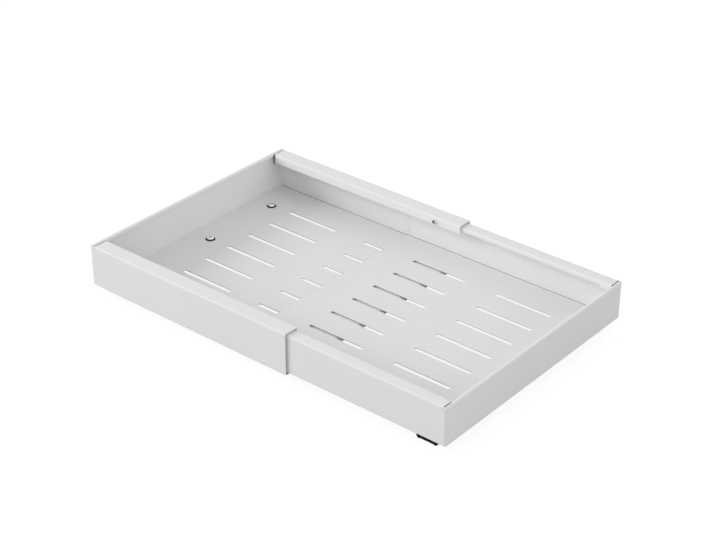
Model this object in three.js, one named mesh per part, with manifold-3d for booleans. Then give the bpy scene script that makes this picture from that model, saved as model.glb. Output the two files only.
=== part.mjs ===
// Width-adjustable pull-out drawer: two nested sheet-steel tray halves, each on a flat ball-bearing slide.
// Millimetres, +Z up. X runs along the width, the front is -Y, and the origin is the middle of the
// slides' undersides, with the tray pushed in and its halves drawn fully apart.
import * as THREE from 'three';
import { mergeVertices } from 'three/addons/utils/BufferGeometryUtils.js';
import Module from 'manifold-3d';

// Tray: the left half is the outer one, and the right half nests inside it.
const OVERALL_WIDTH = 500;
const OUTER_DEPTH = 320;
const OUTER_HEIGHT = 51;
const HALF_LENGTH = 293;
const SHEET = 1.2;
const FOLD_RADIUS = 2.4; // outside of a fold
const NEST_GAP = 1.3; // room between the floors, the walls and the flanges of the two halves
const OUTER_FLANGE = 19.5; // from the outer face of the wall to the lip's inner face
const OUTER_LIP = 10.5;
const OUTER_FLANGE_START = 5.2; // from the end face, just clear of the hem
const INNER_LIP = 5;
const INNER_FLANGE_START = 2.8;
const INNER_GUSSET = 15; // leg of the flat corner between the inner half's flanges and its hem
const LIP_GAP = 1; // room between the two lips
const HEM_WIDTH = 4.8;
const HEM_DROP = 3.3;

// Floor slots, placed from the end wall of each half.
const SLOT_LENGTH = 75;
const SLOT_WIDTH = 5;
const SLOT_COLUMNS = [95.5, 212.5];
const SLOT_ROWS = 7;
const SLOT_PITCH = 36.6;

// Slides, lying flat under the floor and running front to back.
const SLIDE_INSET = 30.5; // from the tray's end face to the middle of the slide
const SLIDE_SETBACK = 10; // from the inner half's front face to the front of the slide
const SLIDE_WIDTH = 27;
const SLIDE_HEIGHT = 10;
const SLIDE_LENGTH = 300;
const DRAWER_RAIL_LENGTH = 292;
const RAIL_SHEET = 1.2;
const RAIL_FOLD = 1.8; // outside of the drawer rail's top folds
const RAIL_CURL = THREE.MathUtils.degToRad(60); // how far the cabinet rail's edge curls over the balls
const RAIL_LEAN = THREE.MathUtils.degToRad(30); // slope of the drawer rail's sides
const RAIL_FLARE = THREE.MathUtils.degToRad(25); // flare of the drawer rail's lower edges
const RAIL_EDGE = 0.3; // straight end past each race
const RAIL_HOLE_RADIUS = 2.25;
const RAIL_HOLE_PITCH = 128;
const STOP_TAB_WIDTH = 8;
const STOP_TAB_INSET = 0.5;
const STOP_TAB_TOP = 3;
const STOP_TAB_FOOT = 1.6; // height of the drawer rail's stop tab above the slide's underside

// Balls and their cage.
const BALL_RADIUS = 2;
const BALL_HEIGHT = 4.2; // middle of the balls above the slide's underside
const RACE_RADIUS = 2.3;
const BALLS_PER_ROW = 5;
const BALL_PITCH = 15;
const BALL_FACETS = { around: 10, along: 6 };
const CAGE_SHEET = 0.5;
const CAGE_LENGTH = 77;
const CAGE_FLOOR = 1.8; // middle of the cage's web
const CAGE_TOP = 7.2;
const CAGE_FOLD = 0.85;
const CAGE_HOLE_RADIUS = 2.2;
const CAGE_HOLE_SIDES = 12;

// Rear bumper, between the end of the drawer rail and the end of the cabinet rail.
const BUMPER = { width: 15, length: 7.2, height: 6, foot: 1.5, radius: 1.5 };

// Screws, nuts and spacers that hold the tray on the drawer rails.
const SCREW_ROWS = { front: -108, middle: 0, back: 108 };
const SCREW_RADIUS = 2;
const HEAD_RADIUS = 6;
const HEAD_HEIGHT = 3.2;
const HEAD_RIM = 0.7;
const HEAD_STEPS = 4;
const LEFT_SCREW_LENGTH = 6;
const RIGHT_SCREW_LENGTH = 8;
const RECESS = { span: 5, width: 1.1, depth: 1.7 };
const SCREW_HOLE_RADIUS = 2.4;
const NUT_ACROSS_FLATS = 7;
const NUT_THICKNESS = 2.7;
const NUT_HOLE_RADIUS = 2.3;
const SPACER_RADIUS = 7;

// Lock screws, one in each lip of the outer half, pressing on the lip of the inner half.
const LOCK_FROM_OPEN_END = 37;
const LOCK_DROP = 6.4; // below the top of the flange, midway down the flat of the lip
const LOCK_RADIUS = 2.3;
const LOCK_LENGTH = 4;
const LOCK_TIP_GAP = 0.2;
const LOCK_TIP_CHAMFER = 0.6;
const LOCK_SOCKET = { acrossFlats: 2.5, depth: 2 };
const LOCK_HOLE_RADIUS = 2.5;
const COLLAR_RADIUS = 4;
const COLLAR_HEIGHT = 1.2;

const ROUND_SIDES = 16;
const CUT_MARGIN = 1; // how far a cutter stands past the face that it cuts

const NEST_STEP = SHEET + NEST_GAP;
const FLOOR_HEIGHT = { left: SLIDE_HEIGHT, right: SLIDE_HEIGHT + NEST_STEP };
const SLIDE_X = OVERALL_WIDTH / 2 - SLIDE_INSET;
const BALL_X = SLIDE_WIDTH / 2 - RAIL_SHEET - RACE_RADIUS;
const LIP_FACE = OUTER_DEPTH / 2 - OUTER_FLANGE;
const INNER_FLANGE = OUTER_FLANGE - NEST_STEP - SHEET - LIP_GAP;
const INNER_DEPTH = OUTER_DEPTH - 2 * NEST_STEP;
const SLIDE_FRONT = SLIDE_SETBACK - INNER_DEPTH / 2;
const SLIDE_BACK = SLIDE_FRONT + SLIDE_LENGTH;
const SLIDE_MIDDLE = (SLIDE_FRONT + SLIDE_BACK) / 2;
const DRAWER_RAIL_MIDDLE = SLIDE_FRONT + DRAWER_RAIL_LENGTH / 2;
const CAGE_MIDDLE = DRAWER_RAIL_MIDDLE; // rolls forward by half the pull, to the stop tabs

const OUTER_HALF = {
  depth: OUTER_DEPTH,
  height: OUTER_HEIGHT,
  flange: OUTER_FLANGE,
  flangeStart: OUTER_FLANGE_START,
  lip: OUTER_LIP,
  gusset: 0,
  hemLength: OUTER_DEPTH,
};
const INNER_HALF = {
  depth: INNER_DEPTH,
  height: OUTER_HEIGHT - 2 * NEST_STEP,
  flange: INNER_FLANGE,
  flangeStart: INNER_FLANGE_START,
  lip: INNER_LIP,
  gusset: INNER_GUSSET,
  hemLength: INNER_DEPTH - 2 * INNER_FLANGE - 2 * SHEET,
};

const FINISH = {
  whiteCoat: { color: 0xe9eaea, roughness: 0.45, metalness: 0 },
  blackCoat: { color: 0x17181a, roughness: 0.45, metalness: 0.2 },
  zinc: { color: 0xc6c9cc, roughness: 0.3, metalness: 1 },
  ballSteel: { color: 0xdadcdf, roughness: 0.12, metalness: 1 },
  blackOxide: { color: 0x202124, roughness: 0.4, metalness: 0.8 },
  rubber: { color: 0x1b1b1c, roughness: 0.85, metalness: 0 },
};

const wasm = await Module();
wasm.setup();

// A closed mesh as a solid that can be joined and cut.
function solid(geometry) {
  const bare = geometry.clone();
  bare.deleteAttribute('normal');
  bare.deleteAttribute('uv');
  const merged = mergeVertices(bare);
  const mesh = new wasm.Mesh({
    numProp: 3,
    vertProperties: new Float32Array(merged.attributes.position.array),
    triVerts: new Uint32Array(merged.index.array),
  });
  return new wasm.Manifold(mesh);
}

function geometryOf(manifold) {
  const { vertProperties, triVerts } = manifold.getMesh();
  const indexed = new THREE.BufferGeometry();
  indexed.setAttribute('position', new THREE.BufferAttribute(vertProperties, 3));
  indexed.setIndex(new THREE.BufferAttribute(triVerts, 1));
  const geometry = indexed.toNonIndexed();
  geometry.computeVertexNormals();
  return geometry;
}

// An outline carried along an axis, with the middle of the run at a given place on that axis.
// Along X the outline lies in Y and Z, along Y in X and Z, and along Z in X and Y.
function prism(outline, axis, middle, length, arcSteps = 2) {
  const unit = {
    x: new THREE.Vector3(1, 0, 0),
    y: new THREE.Vector3(0, 1, 0),
    z: new THREE.Vector3(0, 0, 1),
  };
  const basis = {
    x: [unit.y, unit.z, unit.x],
    y: [unit.x, unit.z, unit.y.clone().negate()],
    z: [unit.x, unit.y, unit.z],
  };
  const geometry = new THREE.ExtrudeGeometry(outline, {
    depth: length,
    bevelEnabled: false,
    curveSegments: arcSteps,
  });
  geometry.translate(0, 0, -length / 2);
  const placing = new THREE.Matrix4().makeBasis(...basis[axis]);
  placing.setPosition(unit[axis].clone().multiplyScalar(middle));
  return geometry.applyMatrix4(placing);
}

function block(low, high) {
  const lowest = new THREE.Vector3(...low);
  const highest = new THREE.Vector3(...high);
  const size = highest.clone().sub(lowest);
  const middle = lowest.add(highest).multiplyScalar(0.5);
  return new THREE.BoxGeometry(...size.toArray()).translate(...middle.toArray());
}

// A rectangle whose corners are rounded by the four radii, from the low corner anticlockwise.
function roundedRectangle([u0, v0], [u1, v1], [lowLow, highLow, highHigh, lowHigh]) {
  const outline = new THREE.Shape();
  outline.moveTo(u0 + lowLow, v0);
  outline.lineTo(u1 - highLow, v0);
  if (highLow > 0) {
    outline.absarc(u1 - highLow, v0 + highLow, highLow, -Math.PI / 2, 0);
  }
  outline.lineTo(u1, v1 - highHigh);
  if (highHigh > 0) {
    outline.absarc(u1 - highHigh, v1 - highHigh, highHigh, 0, Math.PI / 2);
  }
  outline.lineTo(u0 + lowHigh, v1);
  if (lowHigh > 0) {
    outline.absarc(u0 + lowHigh, v1 - lowHigh, lowHigh, Math.PI / 2, Math.PI);
  }
  outline.lineTo(u0, v0 + lowLow);
  if (lowLow > 0) {
    outline.absarc(u0 + lowLow, v0 + lowLow, lowLow, Math.PI, 1.5 * Math.PI);
  }
  return outline;
}

// Section of a folded sheet. Its middle line runs through the points and rounds each inner point by a radius.
function foldedSheet(points, sheet, radii) {
  const middle = points.map(([u, v]) => new THREE.Vector2(u, v));
  const heading = (i) => middle[i + 1].clone().sub(middle[i]).normalize();
  const leftOf = (direction) => new THREE.Vector2(-direction.y, direction.x);
  const folds = radii.map((radius, k) => {
    const before = heading(k);
    const after = heading(k + 1);
    const turn = Math.atan2(before.cross(after), before.dot(after));
    const side = Math.sign(turn);
    const start = middle[k + 1].clone().addScaledVector(before, -radius * Math.tan(Math.abs(turn) / 2));
    const centre = start.clone().addScaledVector(leftOf(before), side * radius);
    const from = start.clone().sub(centre).angle();
    return { centre, radius, side, from, to: from + turn };
  });
  const last = middle.length - 1;
  const ends = [
    { point: middle[0], left: leftOf(heading(0)) },
    { point: middle[last], left: leftOf(heading(last - 1)) },
  ];
  const corner = (end, sign) => ends[end].point.clone().addScaledVector(ends[end].left, sign * sheet / 2);
  const outline = new THREE.Shape();
  outline.moveTo(...corner(0, -1).toArray());
  outline.lineTo(...corner(0, 1).toArray());
  for (const { centre, radius, side, from, to } of folds) {
    outline.absarc(centre.x, centre.y, radius - side * sheet / 2, from, to, side < 0);
  }
  outline.lineTo(...corner(1, 1).toArray());
  outline.lineTo(...corner(1, -1).toArray());
  for (const { centre, radius, side, from, to } of folds.toReversed()) {
    outline.absarc(centre.x, centre.y, radius + side * sheet / 2, to, from, side > 0);
  }
  outline.lineTo(...corner(0, -1).toArray());
  return outline;
}

function stadium(length, width) {
  const end = width / 2;
  return roundedRectangle([-length / 2, -end], [length / 2, end], [end, end, end, end]);
}

function rod(radius, axis, middle, length, sides = ROUND_SIDES) {
  const outline = new THREE.Shape();
  outline.absarc(0, 0, radius, 0, 2 * Math.PI);
  return prism(outline, axis, middle, length, sides / 2);
}

function hexagon(acrossFlats) {
  const reach = acrossFlats / Math.sqrt(3);
  const corners = Array.from({ length: 6 }, (_, i) => {
    const angle = i * Math.PI / 3;
    return new THREE.Vector2(reach * Math.cos(angle), reach * Math.sin(angle));
  });
  return new THREE.Shape(corners);
}

// Floor and three walls of a tray half, open at the top and at the far end, rounded along every fold.
function pan({ depth, height }) {
  const wallTop = height - FOLD_RADIUS;
  const filled = (inset, radius, far, top) => {
    const side = depth / 2 - inset;
    const plan = roundedRectangle([inset, -side], [far, side], [radius, 0, 0, radius]);
    const along = roundedRectangle([inset, inset], [far, top], [radius, 0, 0, 0]);
    const across = roundedRectangle([-side, inset], [side, top], [radius, radius, 0, 0]);
    return solid(prism(plan, 'z', top / 2, top))
      .intersect(solid(prism(along, 'y', 0, depth)))
      .intersect(solid(prism(across, 'x', far / 2, far)));
  };
  const outside = filled(0, FOLD_RADIUS, HALF_LENGTH, wallTop);
  const inside = filled(SHEET, FOLD_RADIUS - SHEET, HALF_LENGTH + CUT_MARGIN, wallTop + CUT_MARGIN);
  return outside.subtract(inside);
}

// Top edge of the front or back wall: folded in as a flange, then down as a lip. With a gusset, the lip
// stops short, and a flat corner at the end of the flange reaches the hem of the end wall.
function flangeStrip({ depth, height, flange, flangeStart, lip, gusset }, side) {
  const wall = side * (depth / 2 - SHEET / 2);
  const face = side * (depth / 2 - flange);
  const inner = face + side * SHEET / 2;
  const top = height - SHEET / 2;
  const fold = FOLD_RADIUS - SHEET / 2;
  const run = (path, radii, start, end) => {
    return solid(prism(foldedSheet(path, SHEET, radii), 'x', (start + end) / 2, end - start));
  };
  const flat = [[wall, height - HEM_DROP], [wall, top]];
  const lipStart = gusset > 0 ? HEM_WIDTH + gusset : flangeStart;
  const lipped = run([...flat, [inner, top], [inner, height - lip]], [fold, fold], lipStart, HALF_LENGTH);
  if (gusset === 0) {
    return lipped;
  }
  const corner = new THREE.Shape([
    new THREE.Vector2(HEM_WIDTH - SHEET / 2, inner),
    new THREE.Vector2(lipStart, inner),
    new THREE.Vector2(lipStart, face),
    new THREE.Vector2(HEM_WIDTH - SHEET / 2, face - side * gusset),
  ]);
  return lipped
    .add(run([...flat, [face, top]], [fold], flangeStart, lipStart))
    .add(solid(prism(corner, 'z', top, SHEET)));
}

// Top edge of the end wall: rolled inwards as a hem, with plain shoulders beside a hem that stops short.
function endEdge({ depth, height, hemLength }) {
  const near = SHEET / 2;
  const far = HEM_WIDTH - SHEET / 2;
  const top = height - SHEET / 2;
  const roll = (far - near) / 2;
  const path = [[near, height - HEM_DROP], [near, top], [far, top], [far, height - HEM_DROP]];
  let edge = solid(prism(foldedSheet(path, SHEET, [roll, roll]), 'y', 0, hemLength));
  if (hemLength < depth) {
    for (const side of [-1, 1]) {
      const ends = [side * hemLength / 2, side * depth / 2];
      const low = [0, Math.min(...ends), height - HEM_DROP];
      const high = [SHEET, Math.max(...ends), height];
      edge = edge.add(solid(block(low, high)));
    }
  }
  const plan = roundedRectangle([0, -depth / 2], [HALF_LENGTH, depth / 2], [FOLD_RADIUS, 0, 0, FOLD_RADIUS]);
  return edge.intersect(solid(prism(plan, 'z', height / 2, height)));
}

function floorSlots() {
  const slot = prism(stadium(SLOT_LENGTH, SLOT_WIDTH), 'z', SHEET / 2, SHEET + 2 * CUT_MARGIN);
  const cuts = [];
  for (const column of SLOT_COLUMNS) {
    for (let row = 0; row < SLOT_ROWS; row += 1) {
      const y = (row - (SLOT_ROWS - 1) / 2) * SLOT_PITCH;
      cuts.push(slot.clone().translate(column, y, 0));
    }
  }
  return cuts;
}

function floorScrewHoles() {
  const hole = rod(SCREW_HOLE_RADIUS, 'z', SHEET / 2, SHEET + 2 * CUT_MARGIN);
  return Object.values(SCREW_ROWS).map((y) => hole.clone().translate(SLIDE_INSET, y, 0));
}

// One tray half, with its end wall at x = 0, its floor's underside at z = 0 and its open end at HALF_LENGTH.
function trayHalf(half) {
  let tray = pan(half).add(endEdge(half));
  for (const side of [-1, 1]) {
    tray = tray.add(flangeStrip(half, side));
  }
  for (const cut of [...floorSlots(), ...floorScrewHoles()]) {
    tray = tray.subtract(solid(cut));
  }
  return tray;
}

// Tapped collars for the lock screws, drawn out of the outer half's lips.
function withLockCollars(tray) {
  const x = HALF_LENGTH - LOCK_FROM_OPEN_END;
  const z = OUTER_HEIGHT - LOCK_DROP;
  let collared = tray;
  for (const side of [-1, 1]) {
    const height = COLLAR_HEIGHT + SHEET / 2;
    const middle = side * (LIP_FACE - COLLAR_HEIGHT + height / 2);
    const collar = rod(COLLAR_RADIUS, 'y', middle, height).translate(x, 0, z);
    const hole = rod(LOCK_HOLE_RADIUS, 'y', side * LIP_FACE, 2 * (COLLAR_HEIGHT + SHEET + CUT_MARGIN));
    collared = collared.add(solid(collar)).subtract(solid(hole.translate(x, 0, z)));
  }
  return collared;
}

// Domed tray screw with a cross recess: the underside of its head at z = 0, its shank downwards.
function trayScrew(length) {
  const dome = Array.from({ length: HEAD_STEPS + 1 }, (_, i) => {
    const angle = i / HEAD_STEPS * Math.PI / 2;
    const height = HEAD_RIM + (HEAD_HEIGHT - HEAD_RIM) * Math.sin(angle);
    return new THREE.Vector2(HEAD_RADIUS * Math.cos(angle), height);
  });
  dome[HEAD_STEPS].x = 0;
  const profile = [
    new THREE.Vector2(0, -length),
    new THREE.Vector2(SCREW_RADIUS, -length),
    new THREE.Vector2(SCREW_RADIUS, 0),
    new THREE.Vector2(HEAD_RADIUS, 0),
    ...dome,
  ];
  const body = new THREE.LatheGeometry(profile, ROUND_SIDES).rotateX(Math.PI / 2);
  const low = HEAD_HEIGHT - RECESS.depth;
  const high = HEAD_HEIGHT + CUT_MARGIN;
  const long = RECESS.span / 2;
  const short = RECESS.width / 2;
  return solid(body)
    .subtract(solid(block([-long, -short, low], [long, short, high])))
    .subtract(solid(block([-short, -long, low], [short, long, high])));
}

function ringGeometry(outline, holeRadius, bottom, height) {
  const hole = new THREE.Path();
  hole.absarc(0, 0, holeRadius, 0, 2 * Math.PI, true);
  outline.holes.push(hole);
  return prism(outline, 'z', bottom + height / 2, height, ROUND_SIDES / 2);
}

function spacerOutline() {
  const outline = new THREE.Shape();
  outline.absarc(0, 0, SPACER_RADIUS, 0, 2 * Math.PI);
  return outline;
}

// Headless lock screw along Y, its tip towards the wall on the given side and its hexagon socket inwards.
function lockScrew(side) {
  const tip = LIP_FACE + SHEET + LIP_GAP - LOCK_TIP_GAP;
  const profile = [
    new THREE.Vector2(0, 0),
    new THREE.Vector2(LOCK_RADIUS, 0),
    new THREE.Vector2(LOCK_RADIUS, LOCK_LENGTH - LOCK_TIP_CHAMFER),
    new THREE.Vector2(LOCK_RADIUS - LOCK_TIP_CHAMFER, LOCK_LENGTH),
    new THREE.Vector2(0, LOCK_LENGTH),
  ];
  const body = new THREE.LatheGeometry(profile, ROUND_SIDES).rotateX(Math.PI / 2);
  const socketDepth = LOCK_SOCKET.depth + CUT_MARGIN;
  const middle = LOCK_SOCKET.depth - socketDepth / 2;
  const socket = prism(hexagon(LOCK_SOCKET.acrossFlats), 'z', middle, socketDepth);
  const screw = geometryOf(solid(body).subtract(solid(socket)));
  return screw.rotateX(-side * Math.PI / 2).translate(0, side * (tip - LOCK_LENGTH), 0);
}

function mirrored(points) {
  return [...points, ...points.toReversed().map(([u, v]) => [-u, v])];
}

// Fixed rail: a channel whose edges curl in over the balls, with screw holes and a stop tab at its front.
function cabinetRail() {
  const race = RACE_RADIUS + RAIL_SHEET / 2;
  const wall = SLIDE_WIDTH / 2 - RAIL_SHEET / 2;
  const reach = race * Math.tan(RAIL_CURL / 2);
  const curl = [wall, BALL_HEIGHT + reach];
  const run = reach + RAIL_EDGE;
  const edge = [curl[0] - run * Math.sin(RAIL_CURL), curl[1] + run * Math.cos(RAIL_CURL)];
  const path = mirrored([edge, curl, [wall, RAIL_SHEET / 2]]);
  const section = foldedSheet(path, RAIL_SHEET, [race, race, race, race]);
  let rail = solid(prism(section, 'y', SLIDE_MIDDLE, SLIDE_LENGTH));
  for (const step of [-1, 0, 1]) {
    const hole = rod(RAIL_HOLE_RADIUS, 'z', RAIL_SHEET / 2, RAIL_SHEET + 2 * CUT_MARGIN);
    rail = rail.subtract(solid(hole.translate(0, SLIDE_MIDDLE + step * RAIL_HOLE_PITCH, 0)));
  }
  const front = SLIDE_FRONT + STOP_TAB_INSET;
  const low = [-STOP_TAB_WIDTH / 2, front, RAIL_SHEET / 2];
  const high = [STOP_TAB_WIDTH / 2, front + RAIL_SHEET, STOP_TAB_TOP];
  return rail.add(solid(block(low, high)));
}

// Moving rail: an upturned channel with sloping sides that carry the inner races, and a stop tab at its rear.
function drawerRail() {
  const race = RACE_RADIUS + RAIL_SHEET / 2;
  const turn = RAIL_LEAN + RAIL_FLARE;
  const bearing = Math.PI + (RAIL_FLARE - RAIL_LEAN) / 2;
  const reach = race / Math.cos(turn / 2);
  const waist = [BALL_X + reach * Math.cos(bearing), BALL_HEIGHT + reach * Math.sin(bearing)];
  const run = race * Math.tan(turn / 2) + RAIL_EDGE;
  const edge = [waist[0] + run * Math.sin(RAIL_FLARE), waist[1] - run * Math.cos(RAIL_FLARE)];
  const web = SLIDE_HEIGHT - RAIL_SHEET / 2;
  const shoulder = [waist[0] + (web - waist[1]) * Math.tan(RAIL_LEAN), web];
  const fold = RAIL_FOLD - RAIL_SHEET / 2;
  const section = foldedSheet(mirrored([edge, waist, shoulder]), RAIL_SHEET, [race, fold, fold, race]);
  let rail = solid(prism(section, 'y', DRAWER_RAIL_MIDDLE, DRAWER_RAIL_LENGTH));
  for (const y of Object.values(SCREW_ROWS)) {
    const hole = rod(SCREW_HOLE_RADIUS, 'z', web, RAIL_SHEET + 2 * CUT_MARGIN).translate(0, y, 0);
    rail = rail.subtract(solid(hole));
  }
  const rear = SLIDE_FRONT + DRAWER_RAIL_LENGTH - STOP_TAB_INSET;
  const low = [-STOP_TAB_WIDTH / 2, rear - RAIL_SHEET, STOP_TAB_FOOT];
  const high = [STOP_TAB_WIDTH / 2, rear, web];
  return rail.add(solid(block(low, high)));
}

function ballPlaces() {
  const rows = [];
  for (const x of [-BALL_X, BALL_X]) {
    for (let i = 0; i < BALLS_PER_ROW; i += 1) {
      rows.push(new THREE.Vector3(x, CAGE_MIDDLE + (i - (BALLS_PER_ROW - 1) / 2) * BALL_PITCH, BALL_HEIGHT));
    }
  }
  return rows;
}

// Thin channel that keeps the balls apart, with a round window for each ball.
function ballCage() {
  const path = mirrored([[BALL_X, CAGE_TOP], [BALL_X, CAGE_FLOOR]]);
  const fold = CAGE_FOLD - CAGE_SHEET / 2;
  let cage = solid(prism(foldedSheet(path, CAGE_SHEET, [fold, fold]), 'y', CAGE_MIDDLE, CAGE_LENGTH));
  for (const place of ballPlaces()) {
    const window = rod(CAGE_HOLE_RADIUS, 'x', place.x, CAGE_SHEET + 2 * CUT_MARGIN, CAGE_HOLE_SIDES);
    cage = cage.subtract(solid(window.translate(0, place.y, place.z)));
  }
  return cage;
}

function bumperGeometry() {
  const { width, length, height, foot, radius } = BUMPER;
  const corners = [radius, radius, radius, radius];
  const section = roundedRectangle([-width / 2, foot], [width / 2, foot + height], corners);
  const gap = (SLIDE_LENGTH - DRAWER_RAIL_LENGTH - length) / 2;
  return prism(section, 'y', SLIDE_BACK - gap - length / 2, length);
}

function piece(name, geometry, finish) {
  const mesh = new THREE.Mesh(geometry, new THREE.MeshStandardMaterial(finish));
  mesh.name = name;
  return mesh;
}

// One slide with its rails, cage, balls, bumper and the fasteners that hold the tray on it.
function slideGroup(side, screwLength) {
  const group = new THREE.Group();
  group.add(piece(`${side}_cabinet_rail`, geometryOf(cabinetRail()), FINISH.blackCoat));
  group.add(piece(`${side}_drawer_rail`, geometryOf(drawerRail()), FINISH.blackCoat));
  group.add(piece(`${side}_ball_cage`, geometryOf(ballCage()), FINISH.zinc));
  group.add(piece(`${side}_rear_bumper`, bumperGeometry(), FINISH.rubber));
  ballPlaces().forEach((place, i) => {
    const sphere = new THREE.SphereGeometry(BALL_RADIUS, BALL_FACETS.around, BALL_FACETS.along);
    const ball = piece(`${side}_ball_${i + 1}`, sphere, FINISH.ballSteel);
    ball.position.copy(place);
    group.add(ball);
  });
  const floorTop = FLOOR_HEIGHT[side] + SHEET;
  const nutBottom = SLIDE_HEIGHT - RAIL_SHEET - NUT_THICKNESS;
  for (const [row, y] of Object.entries(SCREW_ROWS)) {
    const screw = piece(`${side}_tray_screw_${row}`, geometryOf(trayScrew(screwLength)), FINISH.zinc);
    screw.position.set(0, y, floorTop);
    const nutSolid = ringGeometry(hexagon(NUT_ACROSS_FLATS), NUT_HOLE_RADIUS, nutBottom, NUT_THICKNESS);
    const nut = piece(`${side}_slide_nut_${row}`, nutSolid, FINISH.zinc);
    nut.position.y = y;
    group.add(screw, nut);
    const packing = FLOOR_HEIGHT[side] - SLIDE_HEIGHT;
    if (packing > 0) {
      const ring = ringGeometry(spacerOutline(), SCREW_HOLE_RADIUS, SLIDE_HEIGHT, packing);
      const spacer = piece(`${side}_spacer_${row}`, ring, FINISH.zinc);
      spacer.position.y = y;
      group.add(spacer);
    }
  }
  return group;
}

const drawer = new THREE.Group();
drawer.name = 'pull_out_drawer';

const leftTray = piece('left_tray', geometryOf(withLockCollars(trayHalf(OUTER_HALF))), FINISH.whiteCoat);
leftTray.position.set(-OVERALL_WIDTH / 2, 0, FLOOR_HEIGHT.left);
const rightTray = piece('right_tray', geometryOf(trayHalf(INNER_HALF)), FINISH.whiteCoat);
rightTray.position.set(OVERALL_WIDTH / 2, 0, FLOOR_HEIGHT.right);
rightTray.rotation.z = Math.PI;
drawer.add(leftTray, rightTray);

const leftSlide = slideGroup('left', LEFT_SCREW_LENGTH);
leftSlide.position.x = -SLIDE_X;
const rightSlide = slideGroup('right', RIGHT_SCREW_LENGTH);
rightSlide.position.x = SLIDE_X;
drawer.add(leftSlide, rightSlide);

for (const [row, side] of Object.entries({ front: -1, back: 1 })) {
  const lock = piece(`lock_screw_${row}`, lockScrew(side), FINISH.blackOxide);
  const height = FLOOR_HEIGHT.left + OUTER_HEIGHT - LOCK_DROP;
  lock.position.set(-OVERALL_WIDTH / 2 + HALF_LENGTH - LOCK_FROM_OPEN_END, 0, height);
  drawer.add(lock);
}

export default drawer;
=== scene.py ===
import bmesh
import bpy
import numpy as np
from mathutils import Matrix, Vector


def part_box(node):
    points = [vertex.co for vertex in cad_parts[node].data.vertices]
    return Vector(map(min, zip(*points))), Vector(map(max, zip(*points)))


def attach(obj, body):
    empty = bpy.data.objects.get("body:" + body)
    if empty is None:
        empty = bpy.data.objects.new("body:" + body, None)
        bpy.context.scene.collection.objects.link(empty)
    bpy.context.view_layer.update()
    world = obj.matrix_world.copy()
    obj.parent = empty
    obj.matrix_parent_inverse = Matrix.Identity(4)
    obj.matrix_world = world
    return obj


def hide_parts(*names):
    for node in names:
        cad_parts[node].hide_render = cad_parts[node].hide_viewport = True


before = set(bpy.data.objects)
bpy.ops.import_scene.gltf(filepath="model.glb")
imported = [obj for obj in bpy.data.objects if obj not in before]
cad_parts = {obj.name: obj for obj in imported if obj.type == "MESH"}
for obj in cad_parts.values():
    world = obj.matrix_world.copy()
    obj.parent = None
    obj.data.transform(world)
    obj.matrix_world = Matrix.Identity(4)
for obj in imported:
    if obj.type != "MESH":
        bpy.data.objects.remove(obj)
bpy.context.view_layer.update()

# Cabinet rails: the fixed lower channels of the two flat ball slides, screwed down to the cabinet's floor.
# Rolled steel strip with a satin black coat, worn bright where the balls run.
# Pierced flat, curled in at its edges over the balls, and turned up at its front end as a low stop.
MM = 0.001
WELD = 0.002
EDGE_STEPS = 2
SHARP = np.radians(40)
RAIL_SHEET = 1.2
RAIL_EDGE_ROUND = 0.18
BALL_OFFSET = 10.0
BALL_HEIGHT = 4.2
RACE_MIDDLE = 2.9
CURL = np.radians(60)
STRIP_EDGE = 0.3
CABINET_HOLES = {"radius": 2.25, "margin": 4.0, "pitch": 128.0}
TAB_SLIT = 0.15
CABINET_TAB = {"half": 9.0, "fold": 0.75, "tip": 2.1}
BLACK_COAT = {"deep": (0.0075, 0.0075, 0.008), "thin_coat_and_shade": (0.017, 0.017, 0.018), "worn": (0.42, 0.42, 0.43)}
STREAK_SCALE = (900, 22, 900)
WORN = {"race": (2.36, 2.52), "streaks": (0.28, 0.5), "front": (-130, -110), "back": (125, 140)}


def span(node):
    """A CAD node's lowest and highest corners, in millimetres."""
    return [np.array(corner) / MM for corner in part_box(node)]


def lines(*groups):
    """All the given places as one rising row, each once."""
    return np.unique(np.round(np.concatenate([np.ravel(group) for group in groups]), 6))


def ticks(centre, straight, margin):
    """Places for lines around a hole: its straight half-length, then on by the margin times the tangent
    of 0, 15, 30 and 45 degrees, to both sides of its centre."""
    steps = straight + margin * np.tan(np.radians([0, 15, 30, 45]))
    return np.concatenate([centre - steps, centre + steps])


def fold(points, radii, steps=6):
    """A bent line: straight runs through the points, with each inner corner rounded. At a corner that turns
    by an angle, the arc starts radius * tan(angle / 2) before it, and a point of it lies
    radius * sin(part) on along the first run and radius * (1 - cos(part)) to the inside."""
    points = np.asarray(points, float)
    runs = np.diff(points, axis=0)
    ways = runs / np.linalg.norm(runs, axis=1, keepdims=True)
    line = [points[:1]]
    for corner, radius, before, after in zip(points[1:-1], radii, ways[:-1], ways[1:]):
        turn = np.arctan2(before[0] * after[1] - before[1] * after[0], before @ after)
        inside = np.sign(turn) * np.array([-before[1], before[0]])
        part = np.linspace(0, abs(turn), steps + 1)[:, None]
        start = corner - radius * np.tan(abs(turn) / 2) * before
        line.append(start + radius * (np.sin(part) * before + (1 - np.cos(part)) * inside))
    return np.concatenate(line + [points[-1:]])


def both_sides(half):
    """A half section from its outer edge to the middle, continued by its mirror image."""
    half = np.asarray(half, float)
    return np.concatenate([half, half[::-1] * (-1, 1)])


def reach(line):
    """Distance of each point of a line from its start, along it."""
    return np.concatenate([[0], np.cumsum(np.linalg.norm(np.diff(line, axis=0), axis=1))])


def woven(grid, closed=False):
    """Faces between neighbouring rows and columns of a grid of points. A closed one also joins its last
    column to its first."""
    corner = np.arange(grid.shape[0] * grid.shape[1]).reshape(grid.shape[:2])
    if closed:
        corner = np.concatenate([corner, corner[:, :1]], 1)
    faces = np.stack([corner[:-1, :-1], corner[1:, :-1], corner[1:, 1:], corner[:-1, 1:]], -1)
    return grid.reshape(-1, 3), faces.reshape(-1, 4)


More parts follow.
